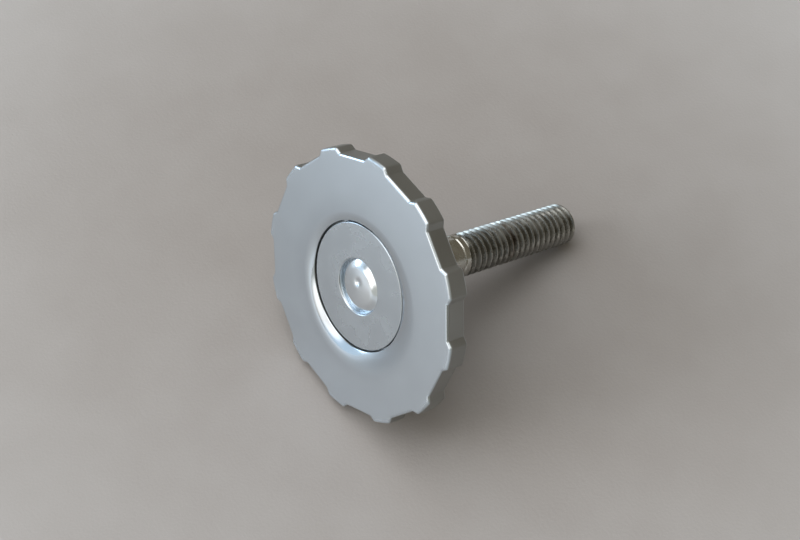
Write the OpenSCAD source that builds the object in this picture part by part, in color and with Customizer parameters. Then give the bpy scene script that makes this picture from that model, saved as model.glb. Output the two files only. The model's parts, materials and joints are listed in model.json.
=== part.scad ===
// Lobed thumb screw that holds a side cover. A pressed disc with grip lobes carries a
// washer in its dish, and a stud is riveted through both.
//
// Each piece is drawn about the screw's axis: local Z runs from the face, at Z = 0, to the
// stud's tip, and local X points down in the rest pose. The whole screw is then laid on a
// bench at Z = 0, where it rests on two lobes and on the tip.

/* [Lobed disc] */
// Diameter across the crests of the lobes
disc_d = 35; // [30:0.5:45]
// Thickness of the plate that the disc is pressed from
disc_t = 2.8; // [2:0.1:3.5]
// Number of lobes round the rim
lobes = 12; // [8:1:13]
// Angle that the crest of a lobe spans
crest_angle = 10; // [8:0.5:11]
// Angle that the flat between two lobes spans
flat_angle = 15.4; // [13:0.2:17]
// Depth of the flats below the crests
flat_depth = 0.82; // [0.5:0.02:1.2]
// Radius of the rounded edges of the rim
rim_edge_r = 0.4; // [0.2:0.05:0.6]

/* [Dish and boss] */
// Depth of the dish's floor below the face
dish_depth = 1.5; // [1.3:0.1:1.8]
// Radius of the gentle shoulder where the face turns down towards the dish
shoulder_r = 5; // [3:0.1:8]
// Depth of the shoulder, down to the top of the dish's straight wall
shoulder_depth = 0.5; // [0.3:0.05:0.8]
// Width of the gap between the washer and the dish's wall
washer_gap = 0.35; // [0.1:0.05:0.8]
// Wall between the dish and the outside of the boss behind it
boss_wall = 2.2; // [1.8:0.1:3]
// Radius of the boss's outer edge
boss_edge_r = 0.8; // [0.4:0.1:0.9]
// Radius of the fillet where the boss leaves the back of the disc
boss_fillet_r = 0.4; // [0.2:0.1:0.5]

/* [Washer] */
// Outer diameter of the washer
washer_d = 16.5; // [14:0.1:19]
// Thickness of the washer
washer_t = 1; // [0.8:0.05:1.2]
// Radius of the washer's edges
washer_edge_r = 0.25; // [0.1:0.05:0.35]
// Depth of the seat that the rivet head sits in
seat_depth = 0.45; // [0.3:0.05:0.6]
// Width of the sloping lip round the seat
lip_w = 0.9; // [0.5:0.1:1.5]

/* [Stud] */
// Diameter of the plain shank
shank_d = 5.5; // [5.2:0.1:8]
// Length of the plain shank, from the boss to the thread
shank_len = 13.7; // [6:0.1:20]
// Diameter of the thread's crests, which the rolling has raised above the shank
thread_d = 5.8; // [5.5:0.1:8]
// Distance from one crest of the thread to the next
thread_pitch = 1; // [0.7:0.05:1.25]
// Length of the threaded end
thread_len = 19.9; // [12:0.1:40]
// Width of the chamfer at the tip
tip_chamfer = 0.8; // [0.4:0.1:1.2]
// Diameter of the neck that passes through the disc and the washer
neck_d = 4.6; // [4:0.1:5]
// Gap round the neck in its holes
neck_gap = 0.05; // [0.02:0.01:0.1]

/* [Rivet head] */
// Diameter of the rivet head
rivet_d = 6.6; // [6:0.1:7.4]
// Gap between the rivet head and the wall of its seat
rivet_gap = 0.1; // [0.05:0.05:0.2]
// Height of the rivet head above its seat
rivet_h = 0.45; // [0.35:0.05:0.6]
// Width of the rounded flank of the rivet head
flank_w = 1; // [0.5:0.1:1.5]
// Rise of the crown in the middle of the rivet head
crown_h = 0.08; // [0.04:0.02:0.2]
// Diameter of the centre mark in the crown
mark_d = 1; // [0.6:0.1:1.4]
// Depth of the centre mark
mark_depth = 0.3; // [0.1:0.05:0.4]
// Distance of the centre mark from the axis
mark_offset = 0.6; // [0:0.1:1]
// Direction of the centre mark from the axis
mark_angle = 130; // [0:5:355]

/* [Hidden] */

// Levels along the axis, from the face towards the tip
washer_z = dish_depth - washer_t;
seat_z = washer_z + seat_depth;
boss_z = disc_t + dish_depth;
thread_z = boss_z + shank_len;
tip_z = thread_z + thread_len;

// The stud's cone between neck and shank, under 45 degrees, and the countersink that it seats in
cone_h = (shank_d - neck_d) / 2;
sink_z = boss_z - cone_h;
cone_z = sink_z - neck_gap;

// Profile of the metric thread: the slope of its flanks, and its depth and the width of its
// crest as shares of the pitch
flank_slope = 30;
depth_share = 0.61;
crest_share = 0.125;
thread_depth = depth_share * thread_pitch;
thread_crest = crest_share * thread_pitch;
thread_flank = thread_depth * tan(flank_slope);
thread_turns = floor((thread_len - tip_chamfer) / thread_pitch);

// Radii
disc_r = disc_d / 2;
floor_r = washer_d / 2 + washer_gap;
shoulder_run = sqrt(2 * shoulder_r * shoulder_depth - pow(shoulder_depth, 2));
boss_r = floor_r + boss_wall;
neck_hole_r = neck_d / 2 + neck_gap;
seat_r = rivet_d / 2 + rivet_gap;

// Corners of a lobe in plan, where its flank meets the flat and the crest
pitch_angle = 360 / lobes;
flat_x = disc_r - flat_depth;
flat_corner = [flat_x, flat_x * tan(flat_angle / 2)];
crest_start = (pitch_angle - crest_angle) / 2;
crest_corner = disc_r * [cos(crest_start), sin(crest_start)];
flank = crest_corner - flat_corner;
flank_normal = atan2(flank.y, flank.x) - 90;
flank_x = flat_corner * [cos(flank_normal), sin(flank_normal)];

// Fineness of rounded edges and of long arcs, as segments in a quarter or in an arc
edge_steps = 3;
arc_steps = 12;
round_fn = 96;
// How far a cutter runs past what it cuts
over = 1;

// Points along an arc from one angle to another
function arc(centre, r, from, to, steps) =
    [for (i = [0:steps]) let (a = from + (to - from) * i / steps) centre + r * [cos(a), sin(a)]];

// The rounded front and back edges of the rim, as points of [distance from the axis, Z]
front_edge = arc([disc_r - rim_edge_r, rim_edge_r], rim_edge_r, -90, 0, edge_steps);
back_edge = arc([disc_r - rim_edge_r, disc_t - rim_edge_r], rim_edge_r, 0, 90, edge_steps);
tip_edge = [[thread_d / 2, tip_z - tip_chamfer], [thread_d / 2 - tip_chamfer, tip_z]];

// The lowest corners of the rim are those of the two crests beside the flat that faces down.
// A line that touches them and the tip's edge from below is the bench.
crest_down = cos(crest_start);
rest_tilt = min([for (t = tip_edge)
    max([for (p = back_edge) atan((p[0] * crest_down - t[0]) / (t[1] - p[1]))])]);
rest_z = max([for (t = tip_edge) t[0] * cos(rest_tilt) + t[1] * sin(rest_tilt)]);
rest_front = max([for (p = front_edge) p[0] * crest_down * sin(rest_tilt) - p[1] * cos(rest_tilt)]);
rest_back = max([for (t = tip_edge) t[0] * sin(rest_tilt) + t[1] * cos(rest_tilt)]);

// Lays a piece on the bench, with the middle of the screw's length over the origin
module laid() {
    translate([(rest_front - rest_back) / 2, 0, rest_z])
        rotate([0, 90 + rest_tilt, 0])
            children();
}

// Section of the pressed plate: dish, shoulder, face, rim, back, boss and countersunk hole
function disc_section() = concat(
    [[neck_hole_r, dish_depth], [floor_r, dish_depth]],
    arc([floor_r + shoulder_run, shoulder_r], shoulder_r,
        270 - acos((shoulder_r - shoulder_depth) / shoulder_r), 270, edge_steps),
    front_edge,
    back_edge,
    arc([boss_r + boss_fillet_r, disc_t + boss_fillet_r], boss_fillet_r, 270, 180, edge_steps),
    arc([boss_r - boss_edge_r, boss_z - boss_edge_r], boss_edge_r, 0, 90, edge_steps),
    [[shank_d / 2 + neck_gap, boss_z], [neck_hole_r, sink_z]]
);

// Everything outside one straight side of the rim, whose edges are rounded like the crests'
module outside_of_side(distance, direction) {
    edge = [for (p = concat(front_edge, back_edge)) [p[0] - disc_r + distance, p[1]]];
    inner = edge[0][0];
    rotate([0, 0, direction])
        rotate([90, 0, 0])
            linear_extrude(height = disc_d, center = true)
                polygon(concat(
                    [[distance + disc_r, -over], [inner, -over]],
                    edge,
                    [[inner, disc_t + over], [distance + disc_r, disc_t + over]]
                ));
}

// The notch between two lobes: a flat and two sloping flanks
module notch() {
    intersection() {
        outside_of_side(flat_x, 0);
        outside_of_side(flank_x, flank_normal);
        outside_of_side(flank_x, -flank_normal);
    }
}

module lobed_disc() {
    color([0.75, 0.78, 0.81])
        laid()
            difference() {
                rotate_extrude($fn = round_fn)
                    polygon(disc_section());
                for (i = [0:lobes - 1])
                    rotate([0, 0, i * pitch_angle])
                        notch();
            }
}

// Section of the washer, with the seat of the rivet head in its upper side
function washer_section() = concat(
    [[neck_hole_r, seat_z], [seat_r, seat_z], [seat_r + lip_w, washer_z]],
    arc([washer_d / 2 - washer_edge_r, washer_z + washer_edge_r], washer_edge_r, -90, 0, edge_steps),
    arc([washer_d / 2 - washer_edge_r, dish_depth - washer_edge_r], washer_edge_r, 0, 90, edge_steps),
    [[neck_hole_r, dish_depth]]
);

module centre_washer() {
    color([0.68, 0.7, 0.73])
        laid()
            rotate_extrude($fn = round_fn)
                polygon(washer_section());
}

// Section of the rivet head: a low crown and a rounded flank, down to the seat
crown_r = rivet_d / 2 - flank_w;
crown_sphere_r = (pow(crown_r, 2) + pow(crown_h, 2)) / (2 * crown_h);
crown_z = seat_z - rivet_h;
flank_h = rivet_h - crown_h;

function rivet_section() = concat(
    arc([0, crown_z + crown_sphere_r], crown_sphere_r, -90, asin(crown_r / crown_sphere_r) - 90, edge_steps),
    [for (i = [1:arc_steps]) let (a = 90 * i / arc_steps)
        [crown_r + flank_w * sin(a), seat_z - flank_h * cos(a)]]
);

// One groove of the thread and the crest after it, from a place along the axis
function thread_turn(z) = [
    [thread_d / 2, z],
    [thread_d / 2 - thread_depth, z + thread_flank],
    [thread_d / 2 - thread_depth, z + thread_pitch - thread_crest - thread_flank],
    [thread_d / 2, z + thread_pitch - thread_crest]
];

// Section of the whole stud: rivet head, neck, cone, shank, thread and tip. The thread is drawn
// as rings, not as a helix.
function stud_section() = concat(
    rivet_section(),
    [[neck_d / 2, seat_z], [neck_d / 2, cone_z], [shank_d / 2, cone_z + cone_h]],
    [[shank_d / 2, thread_z - thread_crest]],
    [for (i = [0:thread_turns - 1]) each thread_turn(thread_z + i * thread_pitch)],
    tip_edge,
    [[0, tip_z]]
);

module centre_mark() {
    rotate([0, 0, mark_angle])
        translate([mark_offset, 0, crown_z - mark_depth])
            cylinder(h = 2 * mark_depth, r1 = mark_d, r2 = 0, $fn = round_fn);
}

module threaded_stud() {
    color([0.42, 0.41, 0.4])
        laid()
            difference() {
                rotate_extrude($fn = round_fn)
                    polygon(stud_section());
                centre_mark();
            }
}

lobed_disc();
centre_washer();
threaded_stud();
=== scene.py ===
"""A chromed, lobed thumb screw that lies on a pale sheet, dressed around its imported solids.

Sizes are in millimetres in the screw's own frame, as in the part's source: local Z runs along
the axis from the face to the stud's tip, and local X points down in the rest pose. Meshes are
placed in metres in the row frame, by the place and direction of the record's stud mount.
Angles are in degrees, and a section's points are (radius, level, normal).
"""

import json
import math

import bmesh
import bpy
from mathutils import Matrix, Vector

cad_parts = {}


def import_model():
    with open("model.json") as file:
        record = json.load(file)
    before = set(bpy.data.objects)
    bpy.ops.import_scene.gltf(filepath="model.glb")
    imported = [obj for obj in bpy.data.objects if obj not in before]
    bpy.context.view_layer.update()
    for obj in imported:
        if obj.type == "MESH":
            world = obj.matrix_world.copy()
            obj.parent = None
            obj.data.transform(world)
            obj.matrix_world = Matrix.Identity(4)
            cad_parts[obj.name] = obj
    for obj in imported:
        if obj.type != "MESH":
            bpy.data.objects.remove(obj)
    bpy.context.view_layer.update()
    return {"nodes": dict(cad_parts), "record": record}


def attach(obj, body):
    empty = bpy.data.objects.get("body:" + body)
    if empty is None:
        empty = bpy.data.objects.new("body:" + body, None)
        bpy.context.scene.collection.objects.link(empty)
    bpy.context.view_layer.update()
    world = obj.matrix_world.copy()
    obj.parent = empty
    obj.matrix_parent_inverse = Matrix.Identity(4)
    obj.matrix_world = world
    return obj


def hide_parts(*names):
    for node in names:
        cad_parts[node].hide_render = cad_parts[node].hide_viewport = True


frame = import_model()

MM = 0.001

# Lobed disc, with the lobes' crests and the flats between them
DISC_R = 17.5
DISC_T = 2.8
LOBES = 12
CREST_ANGLE = 10.0
FLAT_ANGLE = 15.4
FLAT_DEPTH = 0.82
EDGE_R = 0.4
LOBE_CORNER_R = 0.5
NOTCH_FILLET_R = 0.3

# Dish in front, which is pressed a little off the disc's centre, with a shoulder that is drawn
# out towards one side
DISH_DEPTH = 1.5
DISH_SHIFT = 0.12
DISH_SHIFT_ANGLE = 48.0
WALL_EDGE_R = 0.15
WASHER_GAP = 0.2
SHOULDER_R = 5.0
SHOULDER_DEPTH = 0.5
SHOULDER_WIDE = 1.0
SHOULDER_WIDE_ANGLE = -58.0

# Boss behind
BOSS_WALL = 2.4
BOSS_EDGE_R = 0.8
BOSS_FILLET_R = 0.4

# Washer, with a lip round the recess that the rivet sits in
WASHER_R = 8.2
WASHER_T = 1.0
WASHER_EDGE_R = 0.12
SEAT_DEPTH = 0.55
LIP_R = 0.2
WASHER_STEPS = 288

# Distances from the edges of wide flats to the rows that break the flats up
FACE_STEP = 1.5
PLATE_MARGIN = 1.6
BOSS_MARGIN = 2.0
WASHER_MARGIN = 1.0
LIP_MARGIN = 0.4

# Stud, with a plain shank between its neck and the collar in front of the thread
SHANK_R = 2.75
THREAD_R = 2.9
NECK_R = 2.3
NECK_GAP = 0.05
SHANK_LEN = 13.7
THREAD_LEN = 19.9
TIP_CHAMFER = 0.8
COLLAR_W = 1.1
COLUMNS = 144

# Thread: the flat shares of one pitch, how far before the solid's thread the grooves start, and
# the length over which they reach their depth
PITCH = 1.0
THREAD_DEPTH = 0.61
CREST_SHARE = 0.14
ROOT_SHARE = 0.24
CREST_CLEARANCE = 0.01
THREAD_LEAD = 0.5
THREAD_FADE = 0.4
ROWS_PER_PITCH = 12
SHARP_ANGLE = 40.0

# Rivet head: a low crown, a sloping flank, a rounded edge and a mark in the crown
RIVET_R = 3.5
RIVET_GAP = 0.1
CROWN_R = 2.6
CROWN_H = 0.26
FLANK_SLOPE = 28.0
FLANK_ROUND = 0.32
RIVET_EDGE_R = 0.12
MARK_R = 0.42
MARK_DEPTH = 0.22
MARK_PLACE = (-0.68, 0.12)

# Section rows nearer than this are one row, in millimetres. Points of the stud nearer than this
# merge, and shorter edges go, in metres.
SAME_PLACE = 1e-6
MERGE_DISTANCE = 1e-7
SHORTEST_EDGE = 1e-8

# Levels and radii that follow from the sizes above
FLAT_R = DISC_R - FLAT_DEPTH
WASHER_Z = DISH_DEPTH - WASHER_T
SEAT_Z = WASHER_Z + SEAT_DEPTH
BOSS_Z = DISC_T + DISH_DEPTH
THREAD_Z = BOSS_Z + SHANK_LEN
COLLAR_Z = THREAD_Z - THREAD_LEAD - COLLAR_W
TIP_Z = THREAD_Z + THREAD_LEN
FLOOR_R = WASHER_R + WASHER_GAP
SHOULDER_RUN = math.sqrt(2 * SHOULDER_R * SHOULDER_DEPTH - SHOULDER_DEPTH**2)
DISH_R = FLOOR_R + SHOULDER_RUN
BOSS_R = FLOOR_R + BOSS_WALL
HOLE_R = NECK_R + NECK_GAP
SINK_R = SHANK_R + NECK_GAP
SINK_Z = BOSS_Z - (SHANK_R - NECK_R)
SEAT_R = RIVET_R + RIVET_GAP


# ---------------------------------------------------------------- the screw's own frame

def stud_mount():
    """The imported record's mount on the stud's shaft: a point on the axis and its direction."""
    mounts = {m["name"]: m for m in frame["record"]["mounts"]}
    return Vector(mounts["stud"]["pos_m"]), Vector(mounts["stud"]["axis"]).normalized()


def screw_matrix():
    """Takes the screw's own frame, in metres, to the row frame."""
    on_axis, along = stud_mount()
    face = min(v.co.dot(along) for v in frame["nodes"]["lobed_disc"].data.vertices)
    origin = on_axis + along * (face - on_axis.dot(along))
    down = Vector((0, 0, -1))
    down = (down - along * down.dot(along)).normalized()
    side = along.cross(down)
    turn = Matrix((down, side, along)).transposed().to_4x4()
    return Matrix.Translation(origin) @ turn


SCREW = screw_matrix()


def place(point):
    """A point of the screw's own frame, in millimetres, in the row frame."""
    return SCREW @ (Vector(point) * MM)


# ---------------------------------------------------------------- mesh building

def make_object(name, vertices, faces, corner_normals=None):
    """A piece from points and normals in the screw's own frame, shaded smooth."""
    mesh = bpy.data.meshes.new(name)
    mesh.from_pydata([place(v) for v in vertices], [], faces)
    mesh.validate()
    mesh.shade_smooth()
    if corner_normals is not None:
        turn = SCREW.to_3x3()
        mesh.normals_split_custom_set([turn @ Vector(n) for n in corner_normals])
    piece = bpy.data.objects.new(name, mesh)
    bpy.context.scene.collection.objects.link(piece)
    return piece


def clamp(value):
    """The nearest value from 0 to 1."""
    return min(1.0, max(0.0, value))


def offset(length, angle):
    """The step across the axis that is this long in this direction."""
    a = math.radians(angle)
    return length * math.cos(a), length * math.sin(a)


def arc(centre_x, centre_y, radius, start, end, steps):
    """Points (x, y, normal) round an arc. With a radius below 0, normals point at its centre."""
    points = []
    for i in range(steps + 1):
        n = offset(1.0, start + (end - start) * i / steps)
        points.append((centre_x + radius * n[0], centre_y + radius * n[1], n))
    return points


def hollow(points):
    """The same points of an arc, with normals that point towards its centre."""
    return [(r, z, (-n[0], -n[1])) for r, z, n in points]


def mirrored(points):
    """The same points for rim rows, whose r runs inwards while their normals point out."""
    return [(r, z, (-n[0], n[1])) for r, z, n in points]


class Section:
    """Rows of a swept section. Each row has a normal before it and a normal after it."""

    def __init__(self):
        """Starts without rows."""
        self.rows = []

    def add(self, points, rim=False, shift=(0.0, 0.0)):
        """Adds rows. A row at the place of the last one only turns the surface there."""
        for r, z, n in points:
            if self.rows and self.ends_at(r, z, rim):
                self.rows[-1]["after"] = n
            else:
                row = {"r": r, "z": z, "rim": rim, "shift": shift, "before": n, "after": n}
                self.rows.append(row)

    def ends_at(self, r, z, rim):
        """Whether the last row is at this place."""
        last = self.rows[-1]
        near = abs(last["r"] - r) < SAME_PLACE and abs(last["z"] - z) < SAME_PLACE
        return near and last["rim"] == rim

    def flat(self, radii, z, way):
        """Adds rows on a flat that faces along the axis, way being 1 or -1."""
        self.add([(r, z, (0, way)) for r in radii])

    def bore(self, r, start, end):
        """Adds rows on a straight hole, from one level to another."""
        self.add([(r, start, (-1, 0)), (r, end, (-1, 0))])

    def close(self):
        """Makes the first row of the last one, which is at the same place, and gives all rows."""
        self.rows[0]["before"] = self.rows.pop()["before"]
        return self.rows


def sweep(name, rows, outline):
    """Sweeps section rows round an outline of (x, y, normal) points.

    A rim row is the outline moved inwards by its r. Any other row is a circle of radius r.
    """
    count = len(outline)
    vertices = []
    for row in rows:
        for x, y, n in outline:
            if row["rim"]:
                vertices.append((x - n[0] * row["r"], y - n[1] * row["r"], row["z"]))
            else:
                scale = row["r"] / math.hypot(x, y)
                across, side = row["shift"]
                vertices.append((x * scale + across, y * scale + side, row["z"]))

    def normal(row, side, i):
        """A row's normal before or after it, at one point of the outline."""
        x, y, n = outline[i]
        out = n if row["rim"] else (x / math.hypot(x, y), y / math.hypot(x, y))
        nr, nz = row[side]
        return (out[0] * nr, out[1] * nr, nz)

    faces, normals = [], []
    total = len(rows)
    for j in range(total):
        below, above = rows[j], rows[(j + 1) % total]
        a, b = j * count, (j + 1) % total * count
        for i in range(count):
            k = (i + 1) % count
            faces.append((a + i, a + k, b + k, b + i))
            normals += [normal(below, "after", i), normal(below, "after", k)]
            normals += [normal(above, "before", k), normal(above, "before", i)]
    return make_object(name, vertices, faces, normals)


# ---------------------------------------------------------------- lobed disc

def half_lobe():
    """The rim in plan from the middle of a flat to the middle of the next lobe."""
    half_pitch = 180 / LOBES
    corner = Vector((FLAT_R, FLAT_R * math.tan(math.radians(FLAT_ANGLE / 2))))
    crest = Vector(offset(1.0, half_pitch - CREST_ANGLE / 2)) * DISC_R
    along = (crest - corner).normalized()
    out = Vector((along.y, -along.x))
    flank_x = corner.dot(out)
    flank_turn = math.degrees(math.atan2(out.y, out.x))

    # fillet between the flat and the flank, with its centre outside the metal
    fillet_x = FLAT_R + NOTCH_FILLET_R
    fillet_y = (flank_x + NOTCH_FILLET_R - out.x * fillet_x) / out.y
    # rounded corner between the flank and the crest, with its centre in the metal
    inset = flank_x - LOBE_CORNER_R
    reach = DISC_R - LOBE_CORNER_R
    centre = out * inset + along * math.sqrt(reach**2 - inset**2)
    crest_turn = math.degrees(math.atan2(centre.y, centre.x))

    flat_steps = 6
    points = [(FLAT_R, fillet_y * i / flat_steps, (1.0, 0.0)) for i in range(flat_steps)]
    points += arc(fillet_x, fillet_y, -NOTCH_FILLET_R, 0, flank_turn, steps=4)
    points += arc(centre.x, centre.y, LOBE_CORNER_R, flank_turn, crest_turn, steps=7)
    points += arc(0, 0, DISC_R, crest_turn, half_pitch, steps=5)[1:]
    return points


def rim_outline():
    """The whole rim in plan: the half lobe and its mirror image, once for each lobe."""
    half = half_lobe()
    pitch = 2 * math.pi / LOBES

    def reflected(x, y):
        """The mirror image across the middle of the first lobe."""
        c, s = math.cos(pitch), math.sin(pitch)
        return (x * c + y * s, x * s - y * c)

    lobe = list(half)
    for x, y, n in reversed(half[1:-1]):
        lobe.append((*reflected(x, y), reflected(*n)))
    outline = []
    for k in range(LOBES):
        c, s = math.cos(k * pitch), math.sin(k * pitch)
        for x, y, n in lobe:
            turned = (n[0] * c - n[1] * s, n[0] * s + n[1] * c)
            outline.append((x * c - y * s, x * s + y * c, turned))
    return outline


def add_dish(s):
    """Adds the dish: its floor, its wall with a small round, and its wide soft shoulder."""
    corner_r = FLOOR_R + WALL_EDGE_R
    reach = SHOULDER_R - WALL_EDGE_R
    corner_z = SHOULDER_R - math.sqrt(reach**2 - (DISH_R - corner_r) ** 2)
    turn = 360 + math.degrees(math.atan2(corner_z - SHOULDER_R, corner_r - DISH_R))
    start = offset(DISH_SHIFT, DISH_SHIFT_ANGLE)
    end = offset(SHOULDER_WIDE, SHOULDER_WIDE_ANGLE)

    s.flat([HOLE_R, FLOOR_R / 2], DISH_DEPTH, -1)
    s.add([(FLOOR_R, DISH_DEPTH, (0, -1)), (FLOOR_R, DISH_DEPTH, (-1, 0))], shift=start)
    s.add(arc(corner_r, corner_z, WALL_EDGE_R, 180, turn, steps=5), shift=start)
    steps = 24
    for i, point in enumerate(arc(DISH_R, SHOULDER_R, SHOULDER_R, turn, 270, steps)):
        s.add([point], shift=tuple(a + (b - a) * i / steps for a, b in zip(start, end)))


def disc_section():
    """Dish, shoulder, face, rim, back, boss and countersunk hole."""
    s = Section()
    add_dish(s)
    s.flat([DISH_R + FACE_STEP, DISH_R + 2 * FACE_STEP, FLAT_R - PLATE_MARGIN], 0, -1)
    s.add(mirrored(arc(EDGE_R, EDGE_R, EDGE_R, -90, -180, steps=8)), rim=True)
    s.add(mirrored(arc(EDGE_R, DISC_T - EDGE_R, EDGE_R, 180, 90, steps=8)), rim=True)
    s.flat([FLAT_R - PLATE_MARGIN, BOSS_R + BOSS_MARGIN], DISC_T, 1)
    fillet_r, fillet_z = BOSS_R + BOSS_FILLET_R, DISC_T + BOSS_FILLET_R
    s.add(hollow(arc(fillet_r, fillet_z, BOSS_FILLET_R, 270, 180, steps=6)))
    s.add(arc(BOSS_R - BOSS_EDGE_R, BOSS_Z - BOSS_EDGE_R, BOSS_EDGE_R, 0, 90, steps=8))
    s.flat([BOSS_R / 2, SINK_R], BOSS_Z, 1)
    slope = math.sqrt(0.5)
    s.add([(SINK_R, BOSS_Z, (-slope, slope)), (HOLE_R, SINK_Z, (-slope, slope))])
    s.bore(HOLE_R, SINK_Z, DISH_DEPTH)
    return s.close()


def chrome_disc():
    """The round head with its twelve grip lobes."""
    piece = sweep("chrome_disc", disc_section(), rim_outline())
    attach(piece, "root")
    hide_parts("lobed_disc")
    return piece


# ---------------------------------------------------------------- washer

def washer_section():
    """Recess, lip, face, edge, back and hole."""
    s = Section()
    edge_r = WASHER_R - WASHER_EDGE_R
    s.flat([HOLE_R, SEAT_R], SEAT_Z, -1)
    s.add([(SEAT_R, SEAT_Z, (-1, 0))])
    s.add(arc(SEAT_R + LIP_R, WASHER_Z + LIP_R, LIP_R, 180, 270, steps=8))
    s.flat([SEAT_R + LIP_R + LIP_MARGIN, WASHER_R - WASHER_MARGIN, edge_r], WASHER_Z, -1)
    s.add(arc(edge_r, WASHER_Z + WASHER_EDGE_R, WASHER_EDGE_R, -90, 0, steps=6))
    s.add(arc(edge_r, DISH_DEPTH - WASHER_EDGE_R, WASHER_EDGE_R, 0, 90, steps=6))
    s.flat([WASHER_R - WASHER_MARGIN, HOLE_R], DISH_DEPTH, 1)
    s.bore(HOLE_R, DISH_DEPTH, SEAT_Z)
    return s.close()


def turned_washer():
    """The flat washer in the dish."""
    outline = arc(0, 0, 1, 0, 360, WASHER_STEPS)[:-1]
    piece = sweep("turned_washer", washer_section(), outline)
    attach(piece, "root")
    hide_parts("centre_washer")
    return piece


# ---------------------------------------------------------------- stud

def rivet_profile():
    """The rivet head as (r, drop below the top of its crown), from the centre outwards."""
    end_slope = math.tan(math.radians(FLANK_SLOPE))
    start_slope = 2 * CROWN_H / CROWN_R
    edge_start = RIVET_R - RIVET_EDGE_R
    points = []
    drop = 0.0
    steps = 80
    for i in range(1, steps + 1):
        r = edge_start * i / steps
        flank = clamp((r - CROWN_R + FLANK_ROUND) / (2 * FLANK_ROUND))
        slope = start_slope * min(r / CROWN_R, 1.0) * (1 - flank) + end_slope * flank
        drop += slope * edge_start / steps
        points.append((r, drop))
    start = math.radians(FLANK_SLOPE)
    steps = 8
    for i in range(1, steps + 1):
        a = math.radians(FLANK_SLOPE + (90 - FLANK_SLOPE) * i / steps)
        across = RIVET_EDGE_R * (math.sin(a) - math.sin(start)) / (1 - math.sin(start))
        down = RIVET_EDGE_R * (math.cos(start) - math.cos(a))
        points.append((edge_start + across, drop + down))
    return points


def crown_level():
    """The level of the top of the rivet's crown, with its edge on the washer's recess."""
    return SEAT_Z - rivet_profile()[-1][1]


def shank_section():
    """Rivet head, neck, cone and plain shank as (r, z), from the crown to the collar."""
    rows = [(r, crown_level() + drop) for r, drop in rivet_profile()]
    cone = SINK_Z - NECK_GAP
    rows += [(NECK_R, SEAT_Z), (NECK_R, cone), (SHANK_R, cone + SHANK_R - NECK_R)]
    steps = 12
    for i in range(1, steps + 1):
        rows.append((SHANK_R, BOSS_Z + (COLLAR_Z - BOSS_Z) * i / steps))
    return rows


def ring_angles():
    """The angles of a ring's points, in radians."""
    return [2 * math.pi * i / COLUMNS for i in range(COLUMNS)]


def shank_rings():
    """Rings of points on the rivet head and the plain shank, with the mark sunk in the crown."""
    mark = Vector(MARK_PLACE)
    rings = []
    for r, z in shank_section():
        ring = []
        for a in ring_angles():
            p = Vector((r * math.cos(a), r * math.sin(a)))
            sink = 0.0
            if r < CROWN_R and z < SEAT_Z:
                away = (p - mark).length / MARK_R
                sink = MARK_DEPTH * math.exp(-away**2)
            ring.append((p.x, p.y, z + sink))
        rings.append(ring)
    return rings


def thread_depth(phase):
    """How deep the thread is cut at a phase of 0 to 1 along one pitch, a crest being at 0."""
    slope = (1 - CREST_SHARE - ROOT_SHARE) / 2
    from_crest = min(phase, 1 - phase) - CREST_SHARE / 2
    return THREAD_DEPTH * clamp(from_crest / slope)


def thread_rings():
    """Rings that climb with the helix, held between the collar's start and the stud's tip."""
    turns = int((TIP_Z - COLLAR_Z) / PITCH) + 3
    rings = []
    for j in range(-ROWS_PER_PITCH, turns * ROWS_PER_PITCH):
        depth = thread_depth((j / ROWS_PER_PITCH) % 1.0)
        ring = []
        for i, a in enumerate(ring_angles()):
            z = COLLAR_Z + PITCH * (j / ROWS_PER_PITCH + i / COLUMNS)
            z = min(max(z, COLLAR_Z), TIP_Z)
            fade = clamp((z - THREAD_Z + THREAD_LEAD + THREAD_FADE / 2) / THREAD_FADE)
            cut = THREAD_R - CREST_CLEARANCE - depth * fade
            r = min(cut, SHANK_R + (z - COLLAR_Z), THREAD_R - TIP_CHAMFER + (TIP_Z - z))
            ring.append((r * math.cos(a), r * math.sin(a), z))
        rings.append(ring)
    return rings


def strip(a, b, next_a, next_b):
    """Faces between rings that start at a and b, and go on at next_a and next_b."""
    last = COLUMNS - 1
    faces = [(a + i, a + i + 1, b + i + 1, b + i) for i in range(last)]
    return faces + [(a + last, next_a, next_b, b + last)]


def stud_mesh():
    """Points and faces of the stud, from the middle of its crown to its tip."""
    shank, thread = shank_rings(), thread_rings()
    vertices = [(0.0, 0.0, crown_level())]
    starts = []
    for ring in shank + thread:
        starts.append(len(vertices))
        vertices += ring
    first = starts[0]
    faces = [(0, first + (i + 1) % COLUMNS, first + i) for i in range(COLUMNS)]
    # the shank's rings are closed, up to the first of the thread
    for n in range(len(shank)):
        a, b = starts[n], starts[n + 1]
        faces += strip(a, b, a, b)
    # each ring of the thread goes on in the one that starts a pitch further along
    for n in range(len(shank), len(starts) - ROWS_PER_PITCH - 1):
        faces += strip(*starts[n:n + 2], *starts[n + ROWS_PER_PITCH:n + ROWS_PER_PITCH + 2])
    last = starts[-1 - ROWS_PER_PITCH]
    faces.append(tuple(last + i for i in range(COLUMNS)))
    return vertices, faces


def cut_stud():
    """The stud in one piece, cleaned of the rings that fall on one another where they are held."""
    vertices, faces = stud_mesh()
    piece = make_object("cut_stud", vertices, faces)
    bm = bmesh.new()
    bm.from_mesh(piece.data)
    bmesh.ops.remove_doubles(bm, verts=bm.verts, dist=MERGE_DISTANCE)
    bmesh.ops.dissolve_degenerate(bm, edges=bm.edges, dist=SHORTEST_EDGE)
    bmesh.ops.recalc_face_normals(bm, faces=bm.faces)
    bm.to_mesh(piece.data)
    bm.free()
    piece.data.shade_smooth()
    piece.data.set_sharp_from_angle(angle=math.radians(SHARP_ANGLE))
    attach(piece, "root")
    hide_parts("threaded_stud")
    return piece


# ---------------------------------------------------------------- node graphs

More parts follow.
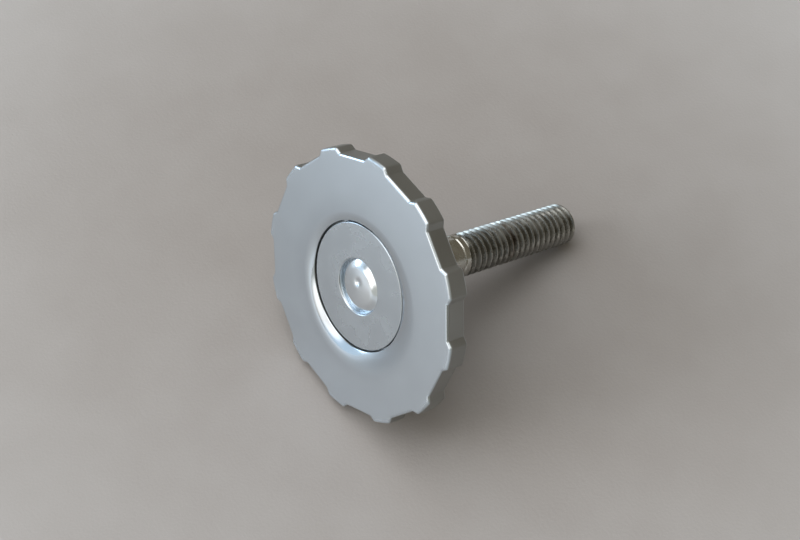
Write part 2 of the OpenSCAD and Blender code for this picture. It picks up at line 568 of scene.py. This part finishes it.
# A noise's values are seldom outside this range
NOISE_RANGE = (0.35, 0.65)


def with_alpha(colour):
    """A plain colour with its alpha. A node's output stays as it is."""
    return (*colour, 1.0) if isinstance(colour, tuple) else colour


class Graph:
    """A node tree. Each helper adds nodes and gives back the output that carries the result."""

    def __init__(self, owner):
        """Takes a new material or world, and keeps its default nodes."""
        owner.use_nodes = True
        self.nodes = owner.node_tree.nodes
        self.links = owner.node_tree.links

    def feed(self, socket, value):
        """Links an input to a node's output, or gives it a plain value."""
        if isinstance(value, bpy.types.NodeSocket):
            self.links.new(value, socket)
        else:
            socket.default_value = value

    def add(self, kind, inputs, **settings):
        """Adds a node and gives back its outputs."""
        node = self.nodes.new(kind)
        for name, value in settings.items():
            setattr(node, name, value)
        for name, value in inputs.items():
            self.feed(node.inputs[name], value)
        return node.outputs

    def maths(self, operation, *values):
        """A calculation with numbers."""
        inputs = dict(enumerate(values))
        return self.add("ShaderNodeMath", inputs, operation=operation)["Value"]

    def vectors(self, operation, *values, label=""):
        """A calculation with vectors, as a node's outputs."""
        inputs = dict(enumerate(values))
        return self.add("ShaderNodeVectorMath", inputs, operation=operation, label=label)

    def scaled(self, colour, scale):
        """A colour times a number."""
        inputs = {0: colour, "Scale": scale}
        return self.add("ShaderNodeVectorMath", inputs, operation="SCALE")["Vector"]

    def spread(self, value, low, high, ends=NOISE_RANGE):
        """A value from low to high while the given one goes from end to end."""
        inputs = {"Value": value, "From Min": ends[0], "From Max": ends[1]}
        inputs.update({"To Min": low, "To Max": high})
        return self.add("ShaderNodeMapRange", inputs)["Result"]

    def blend(self, share, one, two):
        """A colour between two others, each a plain colour or a node's output."""
        inputs = {"Factor": share, "A": with_alpha(one), "B": with_alpha(two)}
        return self.add("ShaderNodeMix", inputs, data_type="RGBA")["Result"]

    def noise(self, where, scale, detail=3.0):
        """A noise with this many waves to the metre."""
        inputs = {"Vector": where, "Scale": scale, "Detail": detail}
        return self.add("ShaderNodeTexNoise", inputs)["Fac"]

    def bump(self, height, distance, strength=1.0):
        """A normal from fine relief, distance being its depth in metres."""
        inputs = {"Height": height, "Distance": distance, "Strength": strength}
        return self.add("ShaderNodeBump", inputs)["Normal"]

    def object_coordinates(self):
        """Places in the row frame, in metres, since each piece's object is at the origin."""
        return self.add("ShaderNodeTexCoord", {})["Object"]

    def screw_coordinates(self):
        """Places in the screw's own frame, in metres."""
        inputs = {
            "Vector": self.object_coordinates(),
            "Location": SCREW.to_translation(),
            "Rotation": SCREW.to_euler(),
        }
        return self.add("ShaderNodeMapping", inputs, vector_type="TEXTURE")["Vector"]

    def radius_and_level(self, where):
        """The distance from the screw's axis and the place along it, in millimetres."""
        parts = self.add("ShaderNodeSeparateXYZ", {"Vector": where})
        flat = self.add("ShaderNodeCombineXYZ", {"X": parts["X"], "Y": parts["Y"]})["Vector"]
        length = self.vectors("LENGTH", flat)["Value"]
        return self.maths("MULTIPLY", length, 1 / MM), self.maths("MULTIPLY", parts["Z"], 1 / MM)

    def facing_axis(self):
        """How far the surface faces along the screw's axis: 1 along it, 0 across it."""
        normal = self.add("ShaderNodeNewGeometry", {})["Normal"]
        _, along = stud_mount()
        return self.maths("ABSOLUTE", self.vectors("DOT_PRODUCT", normal, along)["Value"])


class Material(Graph):
    """A new material with Blender's default surface shader."""

    def __init__(self, name):
        """Makes the material by this name."""
        self.data = bpy.data.materials.new(name)
        super().__init__(self.data)

    def surface(self, **looks):
        """Feeds the shader's inputs, with _ for a space in their names, and gives the material."""
        shader = self.nodes["Principled BSDF"]
        for name, value in looks.items():
            self.feed(shader.inputs[name.replace("_", " ")], value)
        return self.data


# ---------------------------------------------------------------- metals

# A plate's colours and its roughness are pairs, for the low and the high values of its clouds,
# whose scale is in waves to the metre. Ends are where a change along a radius or a level starts
# and stops, in millimetres. WALL_TO_FACE is in shares of facing along the axis instead.

CHROME_CLOUDS = 220.0
# The face's blue tint is partly chrome's own cast and partly a painted reflection of bluish light.
CHROME_FACE = ((0.64, 0.73, 0.82), (0.70, 0.795, 0.89))
# The walls' plate is darker partly for their duller finish and partly as painted shade, for the
# dark surroundings that they reflect.
CHROME_WALL_DULL_AND_SHADED = ((0.31, 0.315, 0.31), (0.37, 0.375, 0.365))
CHROME_ROUGHNESS = (0.09, 0.14)
WALL_ROUGHNESS = 0.30
WALL_TO_FACE = (0.3, 0.8)
DISH_SHADE = 0.9
DISH_SHADE_ENDS = (9.2, 12.5)
RIM_WEAR = 0.16
RIM_WEAR_ENDS = (16.2, 17.1)

WASHER_CLOUDS = 300.0
WASHER_PLATE = ((0.575, 0.65, 0.72), (0.635, 0.71, 0.785))
WASHER_ROUGHNESS = (0.22, 0.30)
TURNING_MARKS = 5.0
TURNING_DETAIL = 4.0
TURNING_DEPTH = 0.00002
TURNING_STRENGTH = 0.5

STUD_CLOUDS = 500.0
HEAD_PLATE = ((0.72, 0.80, 0.87), (0.80, 0.87, 0.94))
SHANK_PLATE = ((0.42, 0.415, 0.385), (0.54, 0.535, 0.50))
STUD_ROUGHNESS = (0.16, 0.34)
HEAD_POLISH = 0.6
HEAD_ENDS = (1.0, 2.0)
GROOVE_SHADE = (0.58, 0.86)
GROOVE_ENDS = (THREAD_R - THREAD_DEPTH, THREAD_R - 0.05)
PLAIN_GAIN = 1.3
PLAIN_ENDS = (THREAD_Z - 0.8, THREAD_Z - 0.2)

SMEAR_LEVEL = 25.4
SMEAR_ENDS = (0.2, 0.8)
SMEAR_CLOUDS = 380.0
SMEAR_BREAKS = (0.42, 0.55)
SMEAR_COLOUR = (0.25, 0.205, 0.165)


def chrome_material():
    """Bright, faintly bluish plate with soft clouds in its polish, and darker, duller walls. The
    blue is partly a painted reflection, the walls' darkness is partly painted shade, and the
    dish's shoulder has painted shade as well.
    """
    m = Material("polished_chrome")
    where = m.screw_coordinates()
    radius, _ = m.radius_and_level(where)
    clouds = m.noise(where, CHROME_CLOUDS)
    shiny = m.spread(m.facing_axis(), 0.0, 1.0, WALL_TO_FACE)
    # The walls' darker plate is partly painted shade.
    plate = m.blend(shiny, m.blend(clouds, *CHROME_WALL_DULL_AND_SHADED), m.blend(clouds, *CHROME_FACE))
    colour = m.scaled(plate, m.spread(radius, DISH_SHADE, 1.0, DISH_SHADE_ENDS))
    polish = m.spread(clouds, *CHROME_ROUGHNESS)
    worn = m.maths("ADD", polish, m.spread(radius, 0.0, RIM_WEAR, RIM_WEAR_ENDS))
    dull = m.maths("MULTIPLY_ADD", shiny, -WALL_ROUGHNESS, WALL_ROUGHNESS)
    return m.surface(Base_Color=colour, Roughness=m.maths("ADD", dull, worn), Metallic=1.0)


def washer_material():
    """The same plate over fine turning marks, which are rings round the axis."""
    m = Material("turned_chrome")
    where = m.screw_coordinates()
    radius, _ = m.radius_and_level(where)
    clouds = m.noise(where, WASHER_CLOUDS)
    inputs = {"W": radius, "Scale": TURNING_MARKS, "Detail": TURNING_DETAIL}
    rings = m.add("ShaderNodeTexNoise", inputs, noise_dimensions="1D")["Fac"]
    return m.surface(
        Base_Color=m.blend(clouds, *WASHER_PLATE),
        Roughness=m.spread(clouds, *WASHER_ROUGHNESS),
        Normal=m.bump(rings, TURNING_DEPTH, TURNING_STRENGTH),
        Metallic=1.0,
    )


def smeared(m, where, level, plate):
    """The plate's colour with a broken brown smear round one turn of the thread."""
    away = m.maths("ABSOLUTE", m.maths("SUBTRACT", level, SMEAR_LEVEL))
    near = m.spread(away, 1.0, 0.0, SMEAR_ENDS)
    broken = m.spread(m.noise(where, SMEAR_CLOUDS), 0.0, 1.0, SMEAR_BREAKS)
    return m.blend(m.maths("MULTIPLY", near, broken), plate, SMEAR_COLOUR)


def stud_material():
    """Chrome on the rivet head, and dull dark plate on the shank and thread."""
    m = Material("plated_stud")
    where = m.screw_coordinates()
    radius, level = m.radius_and_level(where)
    clouds = m.noise(where, STUD_CLOUDS)
    groove = m.spread(radius, *GROOVE_SHADE, GROOVE_ENDS)
    shade = m.maths("MULTIPLY", groove, m.spread(level, PLAIN_GAIN, 1.0, PLAIN_ENDS))
    shank = m.scaled(smeared(m, where, level, m.blend(clouds, *SHANK_PLATE)), shade)
    behind = m.spread(level, 0.0, 1.0, HEAD_ENDS)
    colour = m.blend(behind, m.blend(clouds, *HEAD_PLATE), shank)
    polish = m.spread(level, HEAD_POLISH, 1.0, HEAD_ENDS)
    finish = m.maths("MULTIPLY", m.spread(clouds, *STUD_ROUGHNESS), polish)
    return m.surface(Base_Color=colour, Roughness=finish, Metallic=1.0)


# ---------------------------------------------------------------- stage

FLOOR_REACH = 2.0

# The sheet's colour under the screw, and the painted lighter colour far from it, with the distance
# between them in metres
SHEET_COLOUR = (0.323, 0.303, 0.296)
SHEET_PAINTED_LIGHT_COLOUR = (0.645, 0.66, 0.685)
SHEET_PAINTED_LIGHT_CENTRE = (-0.002, 0.008, 0.0)
SHEET_PAINTED_LIGHT_REACH = 0.120
SHEET_CLOUDS = 90.0
SHEET_CLOUDS_DETAIL = 5.0
SHEET_CLOUDS_SHARE = 0.03
SHEET_GRAIN = 2500.0
SHEET_GRAIN_DETAIL = 4.0
SHEET_GRAIN_DEPTH = 0.00003
SHEET_ROUGHNESS = 0.42


def sheet_material():
    """Pale, slightly glossy paper, with painted light that makes it lighter further out from the
    screw.
    """
    m = Material("pale_sheet")
    where = m.object_coordinates()
    # Painted light: the sheet's colour lightens with the distance from a point under the screw.
    away = m.vectors("DISTANCE", where, SHEET_PAINTED_LIGHT_CENTRE)["Value"]
    share = m.maths("POWER", m.maths("DIVIDE", away, SHEET_PAINTED_LIGHT_REACH), 2.0)
    clouds = m.noise(where, SHEET_CLOUDS, SHEET_CLOUDS_DETAIL)
    share = m.maths("ADD", share, m.spread(clouds, -SHEET_CLOUDS_SHARE, SHEET_CLOUDS_SHARE))
    grain = m.noise(where, SHEET_GRAIN, SHEET_GRAIN_DETAIL)
    return m.surface(
        Base_Color=m.blend(share, SHEET_COLOUR, SHEET_PAINTED_LIGHT_COLOUR),
        Normal=m.bump(grain, SHEET_GRAIN_DEPTH),
        Roughness=SHEET_ROUGHNESS,
    )


def floor():
    """A wide flat sheet at the level that the screw lies on."""
    sides = ((-1, -1), (1, -1), (1, 1), (-1, 1))
    corners = [(x * FLOOR_REACH, y * FLOOR_REACH, 0) for x, y in sides]
    mesh = bpy.data.meshes.new("floor")
    mesh.from_pydata(corners, [], [(0, 1, 2, 3)])
    piece = bpy.data.objects.new("floor", mesh)
    bpy.context.scene.collection.objects.link(piece)
    piece.data.materials.append(sheet_material())


# ---------------------------------------------------------------- light and camera

# The room that the chrome reflects. Each bright place has a colour, the azimuth and elevation of
# its middle, the angle from there within which it is full, and the angle where it ends.
ROOM_COLOUR = (0.19, 0.172, 0.135)
BRIGHT_PLACES = (
    ("window", (1.28, 1.17, 1.08), 168.0, 21.0, 14.0, 23.0),
    ("upper window", (0.95, 1.00, 1.05), 152.0, 42.0, 9.0, 19.0),
    ("sky glow", (0.52, 0.66, 0.80), 140.0, 5.0, 12.0, 24.0),
    ("low sky", (2.30, 2.90, 3.45), 118.0, 4.0, 11.0, 18.0),
    ("pale wall", (0.36, 0.36, 0.34), 188.0, 8.0, 8.0, 26.0),
    ("ceiling", (2.02, 2.04, 2.06), 122.0, 70.0, 22.0, 34.0),
    ("far ceiling", (0.50, 0.48, 0.43), 203.0, 60.0, 12.0, 40.0),
)

# One disk lamp, aimed at the origin: metres and watts
LAMP_AZIMUTH = 151.0
LAMP_ELEVATION = 25.0
LAMP_DISTANCE = 1.6
LAMP_SIZE = 0.8
LAMP_POWER = 8.6
LAMP_COLOUR = (0.97, 1.0, 1.0)

# The camera, whose lens and sensor are in millimetres as well
CAMERA_PLACE = Vector((-67.34, -80.88, 165.76)) * MM
CAMERA_TARGET = Vector((-1.93, 7.95, 0.0)) * MM
CAMERA_ROLL = 0.98
CAMERA_LENS = 64.8
CAMERA_SENSOR = 36.0
CAMERA_CLIP = 10.0 * MM


def direction(azimuth, elevation):
    """The unit vector towards a place of the room."""
    a, e = math.radians(azimuth), math.radians(elevation)
    return Vector((math.cos(a) * math.cos(e), math.sin(a) * math.cos(e), math.sin(e)))


def world():
    """A dim room with its bright places, each of which fades out smoothly round its middle."""
    room = bpy.data.worlds.new("room")
    bpy.context.scene.world = room
    graph = Graph(room)
    view = graph.add("ShaderNodeTexCoord", {})["Generated"]
    total = ROOM_COLOUR
    for name, colour, azimuth, elevation, full, end in BRIGHT_PLACES:
        middle = direction(azimuth, elevation)
        towards = graph.vectors("DOT_PRODUCT", view, middle, label=name)["Value"]
        inputs = {
            "Value": towards,
            "From Min": math.cos(math.radians(end)),
            "From Max": math.cos(math.radians(full)),
        }
        fade = graph.add("ShaderNodeMapRange", inputs, interpolation_type="SMOOTHSTEP")["Result"]
        total = graph.vectors("MULTIPLY_ADD", fade, colour, total)["Vector"]
    graph.feed(graph.nodes["Background"].inputs["Color"], total)


def lamp():
    """One soft lamp, low on the bright side, which throws the long shadow."""
    data = bpy.data.lights.new("soft_lamp", "AREA")
    data.shape = "DISK"
    data.size = LAMP_SIZE
    data.energy = LAMP_POWER
    data.color = LAMP_COLOUR
    light = bpy.data.objects.new("soft_lamp", data)
    spot = direction(LAMP_AZIMUTH, LAMP_ELEVATION) * LAMP_DISTANCE
    light.location = spot
    light.rotation_euler = spot.to_track_quat("Z", "Y").to_euler()
    light.visible_glossy = False
    bpy.context.scene.collection.objects.link(light)


def camera():
    """The camera at the photograph's place, turned a little round its view."""
    data = bpy.data.cameras.new("camera")
    data.lens = CAMERA_LENS
    data.sensor_width = CAMERA_SENSOR
    data.clip_start = CAMERA_CLIP
    cam = bpy.data.objects.new("camera", data)
    look = (CAMERA_TARGET - CAMERA_PLACE).to_track_quat("-Z", "Y").to_matrix().to_4x4()
    roll = Matrix.Rotation(math.radians(CAMERA_ROLL), 4, "Z")
    cam.matrix_world = Matrix.Translation(CAMERA_PLACE) @ look @ roll
    bpy.context.scene.collection.objects.link(cam)
    bpy.context.scene.camera = cam


# ---------------------------------------------------------------- the scene

bpy.context.scene.view_settings.view_transform = "Standard"
camera()
floor()
world()
lamp()
chrome_disc().data.materials.append(chrome_material())
turned_washer().data.materials.append(washer_material())
cut_stud().data.materials.append(stud_material())
